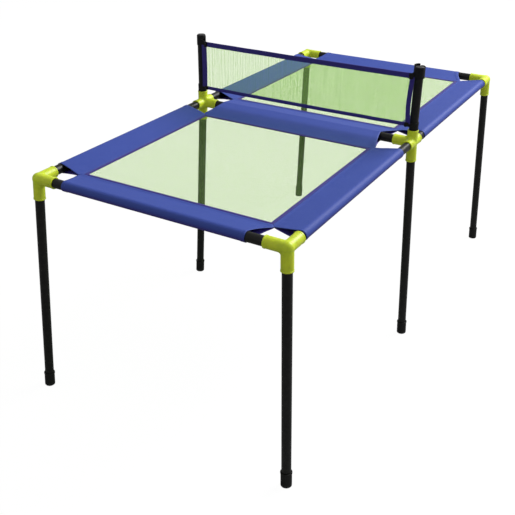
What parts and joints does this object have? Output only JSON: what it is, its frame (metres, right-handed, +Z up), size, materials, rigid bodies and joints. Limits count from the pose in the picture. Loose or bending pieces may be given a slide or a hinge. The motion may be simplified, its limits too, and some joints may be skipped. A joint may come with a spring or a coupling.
{
  "type": "junior table tennis table",
  "caption": "Knock-down child-size table tennis table: push-fit tube frame, sleeved fabric cover with mesh windows, splayed legs and a plug-in net.",
  "frame": {"origin": "on the floor under the middle of the table", "axes": "+X along the table's length to its far end, +Y to its left side, +Z up; the net stands over X = 0"},
  "size_m": [1.6066, 0.8216, 0.868],
  "materials": {
    "moulded_connector": "injection-moulded lime polypropylene, satin",
    "coated_tube": "black powder-coated steel tube, satin",
    "cover_cloth": "royal blue woven polyester with a coated back, low sheen",
    "window_mesh": "fine pale green knitted polyester mesh",
    "binding_tape": "dark navy grosgrain binding tape",
    "foot_cap": "black moulded soft PVC, matte",
    "post_plug": "black moulded polyethylene plug",
    "net_mesh": "fine pale green knitted net",
    "post_strap": "black woven hook-and-loop strap"
  },
  "bodies": {
    "frame": {"corner_connector_near_left": "moulded_connector", "corner_connector_far_left": "moulded_connector", "centre_connector_left": "moulded_connector", "corner_connector_near_right": "moulded_connector", "corner_connector_far_right": "moulded_connector", "centre_connector_right": "moulded_connector", "side_rail_near_left": "coated_tube", "side_rail_far_left": "coated_tube", "side_rail_near_right": "coated_tube", "side_rail_far_right": "coated_tube", "end_tube_near": "coated_tube", "end_tube_far": "coated_tube", "centre_cross_tube": "coated_tube", "end_band_near": "cover_cloth", "side_band_near_left": "cover_cloth", "side_band_near_right": "cover_cloth", "end_band_far": "cover_cloth", "side_band_far_left": "cover_cloth", "side_band_far_right": "cover_cloth", "centre_band": "cover_cloth", "mesh_window_near": "window_mesh", "window_binding_near": "binding_tape", "mesh_window_far": "window_mesh", "window_binding_far": "binding_tape"},
    "leg_near_left": {"leg_tube_near_left": "coated_tube", "foot_cap_near_left": "foot_cap"},
    "leg_near_right": {"leg_tube_near_right": "coated_tube", "foot_cap_near_right": "foot_cap"},
    "leg_centre_left": {"leg_tube_centre_left": "coated_tube", "foot_cap_centre_left": "foot_cap"},
    "leg_centre_right": {"leg_tube_centre_right": "coated_tube", "foot_cap_centre_right": "foot_cap"},
    "leg_far_left": {"leg_tube_far_left": "coated_tube", "foot_cap_far_left": "foot_cap"},
    "leg_far_right": {"leg_tube_far_right": "coated_tube", "foot_cap_far_right": "foot_cap"},
    "net_set": {"net_post_left": "coated_tube", "post_cap_left": "post_plug", "net_post_right": "coated_tube", "post_cap_right": "post_plug", "net_mesh": "net_mesh", "net_top_tape": "binding_tape", "net_bottom_tape": "binding_tape", "net_side_hem_left": "binding_tape", "net_side_hem_right": "binding_tape", "post_strap_top_left": "post_strap", "post_strap_top_right": "post_strap", "post_strap_bottom_left": "post_strap", "post_strap_bottom_right": "post_strap"}
  },
  "joints": [
    {"name": "leg_pull_near_left", "type": "slide", "parent": "frame", "child": "leg_near_left", "axis": [-0.0523, 0.0523, -0.9973], "range_m": [0, 0.045]},
    {"name": "leg_pull_near_right", "type": "slide", "parent": "frame", "child": "leg_near_right", "axis": [-0.0523, -0.0523, -0.9973], "range_m": [0, 0.045]},
    {"name": "leg_pull_centre_left", "type": "slide", "parent": "frame", "child": "leg_centre_left", "axis": [0, 0.0523, -0.9986], "range_m": [0, 0.045]},
    {"name": "leg_pull_centre_right", "type": "slide", "parent": "frame", "child": "leg_centre_right", "axis": [0, -0.0523, -0.9986], "range_m": [0, 0.045]},
    {"name": "leg_pull_far_left", "type": "slide", "parent": "frame", "child": "leg_far_left", "axis": [0.0523, 0.0523, -0.9973], "range_m": [0, 0.045]},
    {"name": "leg_pull_far_right", "type": "slide", "parent": "frame", "child": "leg_far_right", "axis": [0.0523, -0.0523, -0.9973], "range_m": [0, 0.045]},
    {"name": "net_lift", "type": "slide", "parent": "frame", "child": "net_set", "axis": [0, 0, 1], "range_m": [0, 0.03]}
  ]
}
